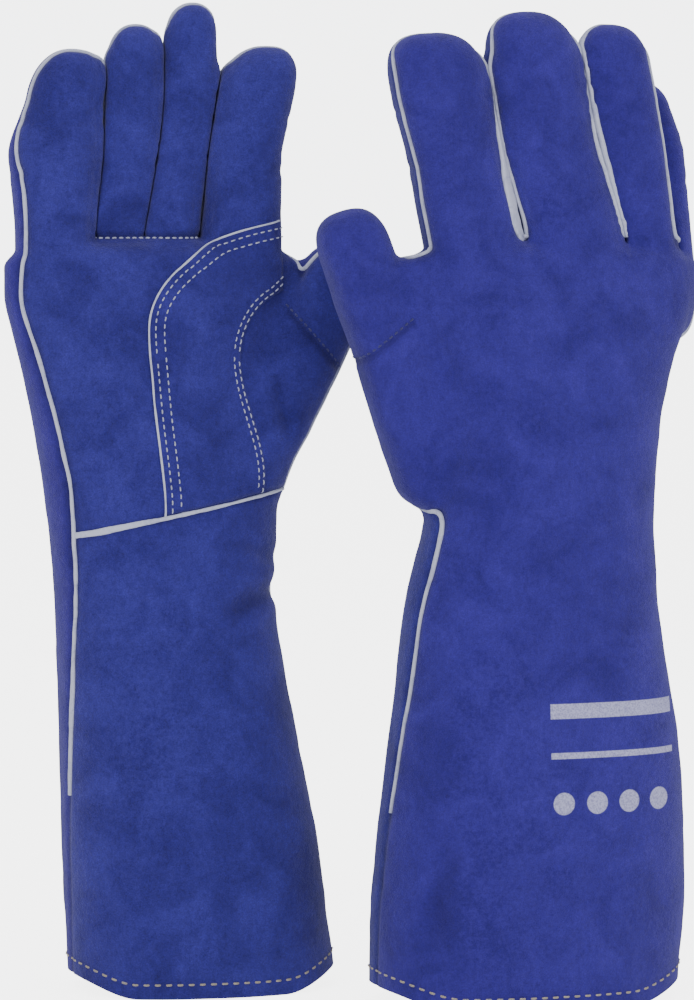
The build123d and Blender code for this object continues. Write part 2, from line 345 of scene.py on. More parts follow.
class Form:
    """One glove's outer shape as a distance field, measured from the CAD."""

    FAR = 60.0

    def __init__(self, glove, style):
        self.glove, self.style = glove, style
        self.own = Own(glove)
        self.noise = Noise(style["seed"])
        self.knuckle_z = JOINTS[f"{glove}_middle_knuckle"]["pos_m"][2] * 1000
        self.swell = 0.0
        self.body = self.measured_body()
        self.fingers = {name: self.measured_finger(name) for name in FINGERS}
        self.thumb = self.measured_thumb()
        self.digits = {**self.fingers, "thumb": self.thumb}

    def measured_body(self):
        """The cuff's and hand's rings. Above the last one, at the knuckles, the hand closes flatter."""
        cuff = cad_edges(self.own, [f"{self.glove}_cuff_back", f"{self.glove}_cuff_front"])
        hand = cad_edges(self.own, [f"{self.glove}_hand_back", f"{self.glove}_palm"])
        rings = [(z, *box_ring(slice_at(cuff, z))) for z in np.linspace(16, self.own.wrist_z - 10, 8)]
        for z in np.linspace(self.own.wrist_z + 18, self.knuckle_z - 45, 4):
            rings.append((z, *fitted_ring(slice_at(hand, z), 0)))
        self.hem = rings[0][1], rings[0][3]
        low = np.array(rings[0]) - (np.array(rings[1]) - np.array(rings[0]))
        low[0] = rings[0][0] - (rings[1][0] - rings[0][0])
        top = np.array(rings[-1])
        top[0] += 20
        top[4] *= HAND_TOP_DEPTH
        return Tube([low, *rings, top], self.knuckle_z - 21, 12, power=BLUNT)

    def measured_finger(self, name):
        """A finger's rings: one from its stub on the hand, and the rest from above the gap at the hinge."""
        ends = cad_edges(self.own, [f"{self.glove}_{name}_back", f"{self.glove}_{name}_front"])
        hand = cad_edges(self.own, [f"{self.glove}_hand_back", f"{self.glove}_palm"])
        pivot = self.own.from_row(JOINTS[f"{self.glove}_{name}_knuckle"]["pos_m"])
        tip = ends[..., 2].max()
        above, stub_z = self.knuckle_z + 20, self.knuckle_z - 16.5
        ring = box_ring(slice_at(ends, above))
        stub_x = pivot[0] + (ring[0] - pivot[0]) / (above - pivot[2]) * (stub_z - pivot[2])
        near = slice_at(hand, stub_z)
        middle = box_ring(near[np.abs(near[:, 0] - stub_x) < 3])
        beside = (np.abs(near[:, 0] - stub_x) < ring[2] + 1.2) & (np.abs(near[:, 1] - middle[1]) < 3)
        sides = box_ring(near[beside])
        stub = np.array([sides[0], middle[1], sides[2], middle[3]])
        clear = self.knuckle_z + 0.72 * (stub[3] - stub[1]) + 5
        dome = ring[2] * 1.35
        high = tip - dome - 0.5
        rings = [[z, *box_ring(slice_at(ends, z))] for z in np.linspace(clear, high, 4)]
        for ring in rings:
            ring[1] -= self.style["outward"].get(name, 0)
            ring[3] += self.style["outward"].get(name, 0)
        root = np.array([stub_z - 22, *stub]) - np.array([0, *(rings[0][1:3] - stub[:2]), 0, 0]) * 0.6
        power = self.style["blunt"].get(name, BLUNT)
        rings = [root, [stub_z, *stub], *rings]
        return Tube(rings, tip, dome, root=self.knuckle_z - 45, power=power, grow=0.1)

    def measured_thumb(self):
        """The thumb's rings, along the line from its hinge to its tip."""
        ends = cad_edges(self.own, [f"{self.glove}_thumb_back", f"{self.glove}_thumb_front"])
        pivot = self.own.from_row(JOINTS[f"{self.glove}_thumb_fold"]["pos_m"])
        away = ends.reshape(-1, 3) - pivot
        far = away[np.argsort(np.linalg.norm(away, axis=1))[-12:]]
        along = unit(far.mean(0))
        tube = Tube([(0, 0, 0, 1, 1), (1, 0, 0, 1, 1)], 10, 5, pivot, along)
        flat = np.stack(tube.local(ends.reshape(-1, 3)), 1).reshape(-1, 2, 3)
        tip = flat[..., 2].max()
        dome = box_ring(slice_at(flat, 12))[2] * 1.25
        rings = [(t, *box_ring(slice_at(flat, t))) for t in np.linspace(10, tip - dome - 1, 4)]
        low = np.array(rings[0])
        low[0], low[3:] = -20, low[3:] * 1.06
        power = self.style["blunt"].get("thumb", BLUNT)
        return Tube([low, *rings], tip, dome, pivot, along, root=-42, power=power, grow=0.1)

    def parts(self, points):
        """The distance to the body and to each digit."""
        far = {"body": self.body.distance(points)}
        for name, tube in self.digits.items():
            u, _, way = tube.local(points)
            aside = np.abs(u - tube.tables[0].mean()) - tube.tables[2].max()
            near = (way > tube.root - 20) & (way < tube.tip + 30) & (aside < 30)
            value = np.full(len(points), self.FAR)
            value[near] = tube.distance(points[near])
            far[name] = value
        if self.swell:
            slit = np.partition([far[name] for name in FINGERS], 1, axis=0)[:2].sum(0)
            most = self.swell + SLIT_SWELL * (1 - ramp(slit, SLIT_NARROW, SLIT_WIDE))
            swell = np.clip(slit * SLIT_FILLED, 0, most)
            for name in FINGERS:
                far[name] = far[name] - swell
        return far

    def plain(self, far):
        """The merged form without relief."""
        base = merged(far["body"], far["thumb"], THUMB_MERGE)
        whole = base
        for name in FINGERS:
            whole = np.minimum(whole, merged(base, far[name], FINGER_MERGE))
        return whole

    def distance(self, points):
        far = self.parts(points)
        return self.plain(far) + self.relief(points, far)

    def seam_side(self, points, far=None):
        """How far a point is to the back of the side seams: above 0 on the back panels."""
        far = far or self.parts(points)
        x, y, z = points.T
        style = self.style
        above_wrist = ramp(z, self.own.wrist_z, self.own.wrist_z + 25)
        thumb_side = style["thumb_side_seam"] * (1 - above_wrist) + style["thumb_side_above"] * above_wrist
        little_side = style["little_side_seam"] * (1 - 0.45 * ramp(z, self.own.wrist_z, self.knuckle_z - 20))
        edge = np.where(x > 0, thumb_side, little_side)
        edge = edge * (1 - 0.7 * ramp(self.own.wrist_z - z, 10, 190))
        fade = ramp(np.abs(x), 5, 30)
        weights = np.exp(-far["body"] / SEAM_MIX)
        total = weights * (y - edge * fade)
        for name, tube in self.digits.items():
            u, v, way = tube.local(points)
            weight = np.exp(-far[name] / SEAM_MIX)
            edge = style["digit_seams"][name]
            if name != "thumb" and edge > 0:
                edge = edge * (1 - SEAM_TIP_DROP * ramp(way, tube.tip - 14, tube.tip - 3))
            if name in style["turned_seams"]:
                across, turned = style["turned_seams"][name]
                aside = ramp((u - np.interp(way, tube.ways, tube.tables[0])) * across, 2, 9)
                down = ramp(tube.tip - way, 18, 60)
                edge = edge + turned * aside * down
            total = total + weight * (v - tube.centre_out(way) - edge)
            weights = weights + weight
        return total / weights

    def hem_height(self, points):
        """How far a point is above the hem line, which rises at the seam ends."""
        centre, half = self.hem
        out = np.clip(np.abs(points[:, 0] - centre) / half, 0, 1.1)
        return points[:, 2] - HEM_CORNER_RISE * ramp(out, 0.55, 1.1) - 0.2

    def wrist_side(self, points):
        """How far a point is above the slanting wrist seam of the palm."""
        return points[:, 2] - self.own.wrist_z + 1 - WRIST_SEAM_SLOPE * points[:, 0]

    def digit_side(self, name, points, far=None):
        """Above 0 on the digit, past where it leaves the hand. A thumb_root starts before the thumb."""
        far = far or self.parts(points)
        digit = name.removesuffix("_root")
        rest = np.min([value for other, value in far.items() if other != digit], axis=0)
        if digit == "thumb":
            across, _, way = self.thumb.local(points)
            past = way - (THUMB_ROOT_WAY if name != digit else THUMB_SEAM_WAY - THUMB_SEAM_SLOPE * across)
        else:
            past = points[:, 2] - self.knuckle_z + FINGER_BASE
        return np.minimum(past, rest - far[digit])

    def seam_nearness(self, points, far):
        """1 in a seam and 0 away from every seam."""
        past = self.seam_side(points, far)
        front = ramp(-past, 0, 3)
        side = np.exp(-(past / 1.9) ** 2)
        wrist = front * np.exp(-(self.wrist_side(points) / 1.7) ** 2)
        total = np.maximum(side, wrist)
        across, _, way = self.thumb.local(points)
        past = way - THUMB_SEAM_WAY + THUMB_SEAM_SLOPE * across
        near_thumb = ramp(1.5 - far["thumb"], 0, 1.5)
        total = np.maximum(total, 0.8 * near_thumb * np.exp(-(past / 1.6) ** 2))
        for name in ("middle", "ring"):
            past = points[:, 2] - self.knuckle_z + FINGER_BASE
            near = front * ramp(2.0 - far[name], 0, 2)
            total = np.maximum(total, near * np.exp(-(past / 1.4) ** 2))
        return total

    def folds(self, points, far):
        """Soft creases where the leather gives: dents, with the leather pushed up beside them."""
        x, y, z = points.T
        depth = np.zeros(len(points))
        for (x0, z0), (x1, z1), side, deep, wide in self.style["folds"]:
            run = np.array([x1 - x0, z1 - z0])
            share = np.clip(((x - x0) * run[0] + (z - z0) * run[1]) / (run @ run), 0, 1)
            bow = 2.5 * self.noise.at(points * (1, 0, 1) + 23, 17.0)
            off = np.hypot(x - x0 - share * run[0], z - z0 - share * run[1]) + bow * 0.4
            taper = ramp(share, -0.05, 0.3) * ramp(1 - share, -0.05, 0.3)
            shape = np.exp(-(off / wide) ** 2) - 0.35 * np.exp(-((np.abs(off) - 2.0 * wide) / wide) ** 2)
            depth += deep * shape * taper * ramp(y * side, -2, 6)
        for name, tube in self.fingers.items():
            base = self.knuckle_z - FINGER_BASE
            near = ramp(2.0 - far[name], 0, 2)
            for share, deep in FINGER_CREASES:
                height = base + share * (tube.tip - base) + 1.2 * self.noise.at(points + 5, 8.0)
                off = np.abs(z - height)
                shape = np.exp(-(off / 1.7) ** 2) - 0.3 * np.exp(-((off - 3.6) / 2) ** 2)
                depth += deep * near * shape * (0.25 + 0.75 * ramp(-y, -4, 6))
        return depth

    def relief(self, points, far):
        """How far the leather stands in from the plain form: seams, folds and wrinkles."""
        z = points[:, 2]
        depth = SEAM_DENT * self.seam_nearness(points, far) + self.folds(points, far)
        for deep, scale, shift in WRINKLES:
            depth = depth + deep * self.noise.at(points + shift, scale)
        cuff = 1 - ramp(z, self.own.wrist_z - 30, self.own.wrist_z)
        deep, scale = CUFF_WAVES
        depth = depth + cuff * deep * self.noise.at(points * (1, 1, 0.6) + 11, scale)
        neighbour = np.partition([far[name] for name in FINGERS], 1, axis=0)[1]
        return np.where(depth < 0, depth * ramp(neighbour, 0.8, 4), depth)

    def gradient(self, points):
        """The way out of the plain form."""
        step = 0.4
        slopes = []
        for axis in range(3):
            shift = np.zeros(3)
            shift[axis] = step
            slopes.append(self.plain(self.parts(points + shift)) - self.plain(self.parts(points - shift)))
        return np.stack(slopes, 1) / (2 * step)

    def settled(self, points, level=0.0, rounds=3):
        """Points moved onto the surface at a level of the field."""
        for _ in range(rounds):
            slope = self.gradient(points)
            size = np.maximum((slope ** 2).sum(1), 0.05)
            step = slope * ((self.distance(points) - level) / size)[:, None]
            length = np.maximum(np.linalg.norm(step, axis=1, keepdims=True), 1e-9)
            points = points - step * np.minimum(1, 2.0 / length)
        return points

    def box(self):
        """The corners of a room that holds the form."""
        low, high = np.full(3, 1e9), np.full(3, -1e9)
        for name in frame["nodes"]:
            if name.startswith(self.glove):
                ends = cad_edges(self.own, [name]).reshape(-1, 3)
                low, high = np.minimum(low, ends.min(0)), np.maximum(high, ends.max(0))
        return low - 5, high + 5


def grid_surface(form, spacing, level):
    """The form at a level as points and quads, with one point in each grid cell that it passes through."""
    low, high = form.box()
    axes = [np.arange(low[i], high[i] + spacing, spacing) for i in range(3)]
    shape = tuple(len(axis) for axis in axes)
    value = np.empty(shape, np.float32)
    for k, z in enumerate(axes[2]):
        layer = np.stack(np.meshgrid(axes[0], axes[1], [z], indexing="ij"), -1).reshape(-1, 3)
        value[:, :, k] = form.plain(form.parts(layer)).reshape(shape[:2]) - level
    inside = value < 0
    corners = np.array(list(np.ndindex(2, 2, 2)))
    cells = tuple(size - 1 for size in shape)
    count = sum(inside[tuple(slice(c, c + n) for c, n in zip(corner, cells))].astype(np.int8)
                for corner in corners)
    active = np.argwhere((count > 0) & (count < 8))
    number = np.full(cells, -1)
    number[tuple(active.T)] = np.arange(len(active))
    total, crossings = np.zeros((len(active), 3)), np.zeros(len(active))
    for start in corners:
        for axis in range(3):
            if start[axis]:
                continue
            end = start.copy()
            end[axis] = 1
            a, b = (value[tuple((active + c).T)].astype(float) for c in (start, end))
            crosses = (a < 0) != (b < 0)
            share = np.where(crosses, a / np.where(crosses, a - b, 1), 0)
            spot = active + start + np.eye(3)[axis] * share[:, None]
            total += np.where(crosses[:, None], spot, 0)
            crossings += crosses
    points = low + total / crossings[:, None] * spacing
    quads = []
    for axis in range(3):
        u, v = (axis + 1) % 3, (axis + 2) % 3
        ahead = [slice(None)] * 3
        ahead[axis] = slice(1, None)
        behind = [slice(None)] * 3
        behind[axis] = slice(None, -1)
        crosses = inside[tuple(ahead)] != inside[tuple(behind)]
        spots = np.argwhere(crosses)
        i, j = spots[:, u], spots[:, v]
        spots = spots[(i > 0) & (j > 0) & (i < cells[u]) & (j < cells[v])]
        ring = []
        for du, dv in ((-1, -1), (0, -1), (0, 0), (-1, 0)):
            cell = spots.copy()
            cell[:, u] += du
            cell[:, v] += dv
            ring.append(number[tuple(cell.T)])
        ring = np.stack(ring, 1)
        leaving = inside[tuple(spots.T)]
        ring[~leaving] = ring[~leaving][:, ::-1]
        quads.append(ring)
    return points, np.concatenate(quads)


class Surface:
    """A triangle mesh with a normal at each point."""

    def __init__(self, points, tris, normals=None):
        self.points, self.tris = points, tris
        self.normals = point_normals(points, tris) if normals is None else normals

    def kept(self, keep):
        """The part made of the triangles that keep marks."""
        tris = self.tris[keep]
        used, compact = np.unique(tris, return_inverse=True)
        return Surface(self.points[used], compact.reshape(-1, 3), self.normals[used])

    def centres(self):
        return self.points[self.tris].mean(1)

    def crossings(self, value):
        """Triangles where value changes sign, each from its lone corner, and the new points on two edges."""
        value = np.where(np.abs(value) < 1e-3, 1e-3, value)
        side = value[self.tris] > 0
        mixed = np.flatnonzero(side.any(1) & ~side.all(1))
        tris, side = self.tris[mixed], side[mixed]
        lone = np.where(side.sum(1) == 1, side.argmax(1), (~side).argmax(1))
        turn = (lone[:, None] + np.arange(3)) % 3
        tris = np.take_along_axis(tris, turn, 1)
        edges = np.sort(np.stack([tris[:, (0, 1)], tris[:, (0, 2)]], 1).reshape(-1, 2), axis=1)
        edges, which = np.unique(edges, axis=0, return_inverse=True)
        a, b = value[edges[:, 0]], value[edges[:, 1]]
        share = (a / (a - b))[:, None]
        points = self.points[edges[:, 0]] * (1 - share) + self.points[edges[:, 1]] * share
        normals = self.normals[edges[:, 0]] * (1 - share) + self.normals[edges[:, 1]] * share
        return mixed, tris, which.reshape(-1, 2), points, normals

    def split(self, value):
        """The same surface with its triangles cut where value, one per point, is 0."""
        mixed, tris, cut, points, normals = self.crossings(value)
        cut = cut + len(self.points)
        whole = np.delete(self.tris, mixed, axis=0)
        tips = np.stack([tris[:, 0], cut[:, 0], cut[:, 1]], 1)
        near = np.stack([cut[:, 0], tris[:, 1], tris[:, 2]], 1)
        far = np.stack([cut[:, 0], tris[:, 2], cut[:, 1]], 1)
        return Surface(np.vstack([self.points, points]), np.vstack([whole, tips, near, far]),
                       np.vstack([self.normals, normals]))

    def traced(self, value):
        """Lines along the surface where value is 0, each as its points."""
        _, _, cut, points, _ = self.crossings(value)
        links = {}
        for a, b in cut.tolist():
            links.setdefault(a, []).append(b)
            links.setdefault(b, []).append(a)
        lines, seen = [], set()
        ends = [p for p, near in links.items() if len(near) == 1]
        for start in ends + list(links):
            if start in seen:
                continue
            chain, here = [start], start
            seen.add(start)
            while True:
                ahead = [p for p in links[here] if p not in seen]
                if not ahead:
                    break
                here = ahead[0]
                seen.add(here)
                chain.append(here)
            lines.append(points[chain])
        return lines


def point_normals(points, tris):
    corner = points[tris]
    face = np.cross(corner[:, 1] - corner[:, 0], corner[:, 2] - corner[:, 0])
    total = np.zeros_like(points)
    for column in range(3):
        np.add.at(total, tris[:, column], face)
    return total / np.maximum(np.linalg.norm(total, axis=1, keepdims=True), 1e-12)


def glove_surface(form, spacing, level=0.0):
    """The glove as one surface at a level of its field, cut off at the hem."""
    points, quads = grid_surface(form, spacing, level)
    form.swell = FINGER_SWELL
    points = form.settled(points, level)
    diagonal = points[quads]
    short = (np.linalg.norm(diagonal[:, 0] - diagonal[:, 2], axis=1)
             < np.linalg.norm(diagonal[:, 1] - diagonal[:, 3], axis=1))
    tris = np.concatenate([quads[short][:, (0, 1, 2)], quads[short][:, (0, 2, 3)],
                           quads[~short][:, (0, 1, 3)], quads[~short][:, (1, 2, 3)]])
    surface = Surface(points, tris)
    surface = surface.split(form.hem_height(surface.points))
    return surface.kept(form.hem_height(surface.centres()) > 0)


def thickened(surface, depth):
    """A closed shell: the surface, a copy set in by depth, and a rim where the surface ends."""
    count = len(surface.points)
    inner = surface.points - surface.normals * depth
    tris = surface.tris
    edges = np.concatenate([tris[:, (0, 1)], tris[:, (1, 2)], tris[:, (2, 0)]])
    keys = np.sort(edges, axis=1)
    _, first, times = np.unique(keys, axis=0, return_index=True, return_counts=True)
    a, b = edges[first[times == 1]].T
    rim = np.concatenate([np.stack([b, a, a + count], 1), np.stack([b, a + count, b + count], 1)])
    return Surface(np.vstack([surface.points, inner]), np.vstack([tris, tris[:, ::-1] + count, rim]),
                   np.vstack([surface.normals, -surface.normals]))


# ---------------------------------------------------------------------------------------------------------
# Lines on the surface: welts and stitches.


def evened(points, spacing):
    """A line's points spaced evenly."""
    run = np.concatenate([[0], np.cumsum(np.linalg.norm(np.diff(points, axis=0), axis=1))])
    count = max(int(run[-1] / spacing), 2)
    return np.stack([np.interp(np.linspace(0, run[-1], count + 1), run, column) for column in points.T], 1)


def softened(points, rounds):
    """A line with its small kinks taken out and its ends kept."""
    for _ in range(rounds):
        middle = (points[:-2] + points[1:-1] * 2 + points[2:]) / 4
        points = np.vstack([points[:1], middle, points[-1:]])
    return points


def line_frames(form, points):
    """Along, out and across directions at each point of a line on the surface."""
    along = np.gradient(points, axis=0)
    along /= np.maximum(np.linalg.norm(along, axis=1, keepdims=True), 1e-9)
    out = form.gradient(points)
    out -= along * (out * along).sum(1, keepdims=True)
    out /= np.maximum(np.linalg.norm(out, axis=1, keepdims=True), 1e-9)
    return along, out, np.cross(along, out)


def swept(points, out, across, profile, widths, heights):
    """A closed strip: a profile of (across, out) points carried along a line and capped at both ends."""
    profile = np.array(profile)
    sides = len(profile)
    rings = (points[:, None] + across[:, None] * (profile[:, 0] * widths[:, None])[..., None]
             + out[:, None] * (profile[:, 1] * heights[:, None])[..., None])
    count = len(points)
    verts = np.vstack([rings.reshape(-1, 3), points[:1], points[-1:]])
    here = np.arange(sides)
    ahead = (here + 1) % sides
    faces = []
    for i in range(count - 1):
        a, b = i * sides, (i + 1) * sides
        faces.append(np.stack([a + here, a + ahead, b + ahead], 1))
        faces.append(np.stack([a + here, b + ahead, b + here], 1))
    first, last = count * sides, count * sides + 1
    faces.append(np.stack([np.full(sides, first), ahead, here], 1))
    end = (count - 1) * sides
    faces.append(np.stack([np.full(sides, last), end + here, end + ahead], 1))
    return Surface(verts, np.concatenate(faces))


def rounded_strip(sides=10, flat=0.55):
    """A flattened round profile, 1 across to each side and 1 out."""
    turn = np.arange(sides) / sides * math.tau
    x, y = np.cos(turn), np.sin(turn)
    return np.stack([np.sign(x) * np.abs(x) ** flat, np.sign(y) * np.abs(y) ** 0.8], 1)


def joined(surfaces):
    """Several surfaces as one."""
    points, tris, normals, count = [], [], [], 0
    for surface in surfaces:
        points.append(surface.points)
        tris.append(surface.tris + count)
        normals.append(surface.normals)
        count += len(surface.points)
    return Surface(np.vstack(points), np.vstack(tris), np.vstack(normals))


def welt(form, line, width, height, lift, seed, spread=None):
    """A raised strip of leather along a line on the surface, a little uneven as sewn suede is.

    spread gives how many times its width it is at each point.
    """
    points = softened(evened(line, 1.5), 4)
    points = form.settled(points, rounds=2)
    _, out, across = line_frames(form, points)
    noise = form.noise
    wander = noise.at(points + seed, 9.0)
    swell = 1 + 0.22 * noise.at(points + seed + 40, 5.0) + 0.12 * noise.at(points + seed + 90, 2.2)
    if spread:
        swell = swell * spread(points)
    centre = points + across * (wander * width * 0.22)[:, None] + out * lift
    return swept(centre, out, across, rounded_strip(), width * swell, height * (0.9 + 0.1 * swell))


def dashes(form, line, pitch, share, width, height, lift):
    """A row of stitches: short rounded threads laid along a line on the surface."""
    line = softened(evened(line, pitch / 6), 6)
    _, out, across = line_frames(form, line)
    table = np.hstack([line, out, across])
    run = np.concatenate([[0], np.cumsum(np.linalg.norm(np.diff(line, axis=0), axis=1))])
    profile = rounded_strip(6, 1.0)
    arch = np.array([-0.7, 0.25, 0.5, 0.25, -0.7]) * height
    taper = np.array([0.6, 1, 1, 1, 0.6])
    pieces = []
    for number in range(int(run[-1] / pitch)):
        start = (number + (1 - share) / 2) * pitch
        ways = start + np.linspace(0, 1, 5) * pitch * share
        rows = np.stack([np.interp(ways, run, column) for column in table.T], 1)
        points, out, across = rows[:, :3], rows[:, 3:6], rows[:, 6:]
        pieces.append(swept(points + out * (lift + arch)[:, None], out, across, profile,
                            width / 2 * taper, height / 2 * taper))
    return joined(pieces)


# ---------------------------------------------------------------------------------------------------------
# Materials.


class Nodes:
    """A new material and short calls that add nodes to it."""

    def __init__(self, name):
        self.material = bpy.data.materials.new(name)
        self.material.use_nodes = True
        self.tree = self.material.node_tree
        self.tree.nodes.clear()

    def add(self, kind, inputs=None, **settings):
        node = self.tree.nodes.new(kind)
        for key, value in settings.items():
            setattr(node, key, value)
        for key, value in (inputs or {}).items():
            if isinstance(value, bpy.types.NodeSocket):
                self.tree.links.new(value, node.inputs[key])
            else:
                node.inputs[key].default_value = value
        return node

    def attribute(self, name, output="Fac"):
        return self.add("ShaderNodeAttribute", attribute_name=name).outputs[output]

    def noise(self, vector, scale, detail=2.0, roughness=0.5, distortion=0.0):
        settings = {"Vector": vector, "Scale": scale, "Detail": detail, "Roughness": roughness,
                    "Distortion": distortion}
        return self.add("ShaderNodeTexNoise", settings).outputs["Fac"]

    def math(self, operation, a, b=0.0, clamp=False):
        return self.add("ShaderNodeMath", {0: a, 1: b}, operation=operation, use_clamp=clamp).outputs[0]

    def span(self, value, low, high, to_low=0.0, to_high=1.0):
        """A value's range from low to high carried to another, and held at its ends."""
        return self.add("ShaderNodeMapRange", {"Value": value, "From Min": low, "From Max": high,
                                               "To Min": to_low, "To Max": to_high}).outputs["Result"]

    def mix(self, share, a, b, blend="MIX"):
        node = self.add("ShaderNodeMix", data_type="RGBA", blend_type=blend)
        for index, value in ((0, share), (6, a), (7, b)):
            if isinstance(value, bpy.types.NodeSocket):
                self.tree.links.new(value, node.inputs[index])
            else:
                node.inputs[index].default_value = value if index == 0 else (*value, 1.0)
        return node.outputs[2]

    def stretched(self, vector, scale):
        return self.add("ShaderNodeMapping", {"Vector": vector, "Scale": scale}).outputs["Vector"]

    def finish(self, colour, roughness, height, distance, sheen=0.25, tint=(0.6, 0.6, 0.95), glow=0.0):
        """The shader that the nodes end in, as a material."""
        bump = self.add("ShaderNodeBump", {"Height": height, "Distance": distance, "Strength": 1.0})
        shader = self.add("ShaderNodeBsdfPrincipled", {
            "Base Color": colour, "Roughness": roughness, "Normal": bump.outputs["Normal"],
            "Sheen Weight": sheen, "Sheen Roughness": 0.45, "Sheen Tint": (*tint, 1.0),
            "Specular IOR Level": 0.2, "Emission Color": (1.0, 1.0, 1.0, 1.0), "Emission Strength": glow})
        output = self.add("ShaderNodeOutputMaterial")
        self.tree.links.new(shader.outputs[0], output.inputs[0])
        return self.material


def suede(name, dark, light, grain, nap, printed=None):
    """Split leather: a short uneven nap over a pebbly grain, with painted shade darkening its seams and
    folds, and paler where it rubs.

    printed is a form whose cuff carries the white print.
    """
    n = Nodes(name)
    place = n.attribute("rest", "Vector")
    blotch = n.span(n.noise(place, 0.045, 3.0, 0.6, 0.8), 0.32, 0.68)
    colour = n.mix(blotch, dark, light)
    patchy = n.span(n.noise(place, 0.35, 5.0, 0.7, 0.4), 0.3, 0.7, 1 - nap * 0.6, 1 + nap * 0.6)
    streaks = n.span(n.noise(n.stretched(place, (1.0, 1.0, 0.25)), 0.8, 3.0, 0.6), 0.3, 0.7, 0.94, 1.06)
    fibre = n.span(n.noise(place, 1.7, 4.0, 0.75), 0.3, 0.7, 1 - nap * 1.6, 1 + nap * 1.6)
    shade = n.math("MULTIPLY", n.math("MULTIPLY", patchy, streaks), fibre)
    # Painted shade: the seam attribute darkens the colour in the seam grooves and the folds.
    shade = n.math("MULTIPLY", shade, n.span(n.attribute("seam"), 0.1, 1.0, 1.0, 0.62))
    tone = n.add("ShaderNodeCombineColor", {0: shade, 1: shade, 2: shade}).outputs[0]
    colour = n.mix(1.0, colour, tone, "MULTIPLY")
    rubbed = n.span(n.attribute("rub"), 0.25, 1.0)
    rub = n.math("MULTIPLY", rubbed, n.span(n.noise(place, 0.5, 4.0, 0.75), 0.45, 0.7))
    pale = tuple(min(1.0, c * 1.5 + 0.01) for c in light)
    colour = n.mix(n.math("MULTIPLY", rub, 0.35), colour, pale)
    if printed:
        colour = n.mix(print_cover(n, place, printed), colour, PRINT_INK)
    pebble = n.add("ShaderNodeTexVoronoi", {"Vector": place, "Scale": grain, "Randomness": 1.0},
                   feature="SMOOTH_F1").outputs["Distance"]
    fine = n.math("MULTIPLY", n.noise(place, grain * 2.2, 4.0, 0.7), 0.9)
    height = n.math("ADD", n.math("MULTIPLY", pebble, 0.55), fine)
    height = n.math("ADD", height, n.math("MULTIPLY", n.noise(place, 0.28, 3.0, 0.6), 1.6))
    roughness = n.span(n.noise(place, 0.6, 3.0), 0.3, 0.7, 0.78, 0.95)
    return n.finish(colour, roughness, height, 0.00035)


def print_cover(n, place, form):
    """How much of the plain white print covers each place: two bars with a row of dots under them."""
    part = n.add("ShaderNodeSeparateXYZ", {0: place})
    x, z = part.outputs[0], part.outputs[2]
    centre, half = form.hem
    cover = 0.0

    def band(value, low, high):
        above = n.span(value, low - 0.15, low + 0.15)
        return n.math("MULTIPLY", above, n.span(value, high + 0.15, high - 0.15))

    for low, high, near, far in PRINT_BARS:
        bar = n.math("MULTIPLY", band(x, centre - half * far, centre - half * near), band(z, low, high))
        cover = n.math("MAXIMUM", cover, bar)
    flat = n.add("ShaderNodeCombineXYZ", {0: x, 1: z}).outputs[0]
    for share in PRINT_DOTS:
        spot = (centre - half * share, PRINT_DOT_Z, 0)
        away = n.add("ShaderNodeVectorMath", {0: flat, 1: spot}, operation="DISTANCE").outputs["Value"]
        cover = n.math("MAXIMUM", cover, n.span(away, PRINT_DOT + 0.2, PRINT_DOT - 0.2))
    worn = n.span(n.noise(place, 1.3, 5.0, 0.8), 0.42, 0.62, 0.95, 0.45)
    return n.math("MULTIPLY", cover, worn)


def pale_leather(name):
    """The undyed welt: pale suede with blue dye rubbed into it here and there."""
    n = Nodes(name)
    place = n.attribute("rest", "Vector")
    stain = n.span(n.noise(place, 0.16, 5.0, 0.75, 1.0), 0.5, 0.72)
    colour = n.mix(n.math("MULTIPLY", stain, 0.55), (0.58, 0.60, 0.76), (0.14, 0.16, 0.42))
    fibre = n.span(n.noise(place, 2.2, 3.0, 0.7), 0.3, 0.7, 0.72, 1.0)
    colour = n.mix(fibre, (0.33, 0.36, 0.5), colour)
    height = n.math("ADD", n.noise(place, 2.4, 4.0, 0.7), n.noise(place, 0.7, 2.0))
    return n.finish(colour, 0.9, height, 0.0004, tint=(0.9, 0.9, 1.0))


def thread_material(name, colour):
    """Twisted thread, with its lay slanting across it."""
    n = Nodes(name)
    place = n.attribute("rest", "Vector")
    twist = n.add("ShaderNodeTexWave", {"Vector": place, "Scale": 1.1, "Distortion": 0.6, "Detail": 1.0},
                  bands_direction="DIAGONAL").outputs["Fac"]
    shade = n.mix(n.span(twist, 0.1, 0.9), tuple(c * 0.6 for c in colour), colour)
    soiled = n.mix(n.span(n.noise(place, 0.3, 3.0), 0.55, 0.8, 0.0, 0.5), shade, (0.2, 0.22, 0.4))
    return n.finish(soiled, 0.75, twist, 0.0002, sheen=0.2, tint=(1, 1, 1))


def lining_material(name):
    """Brushed cotton with a plain weave showing through."""
    n = Nodes(name)
    place = n.attribute("rest", "Vector")
    weave = n.add("ShaderNodeTexVoronoi", {"Vector": n.stretched(place, (1.0, 1.0, 1.4)), "Scale": 0.9,
                                           "Randomness": 0.25}).outputs["Distance"]
    fluff = n.noise(place, 0.9, 5.0, 0.75)
    colour = n.mix(n.span(fluff, 0.3, 0.7), (0.5, 0.47, 0.4), (0.74, 0.71, 0.63))
    return n.finish(colour, 0.95, n.math("ADD", weave, fluff), 0.0005, sheen=0.5, tint=(1, 1, 1))


# ---------------------------------------------------------------------------------------------------------
# Pieces.


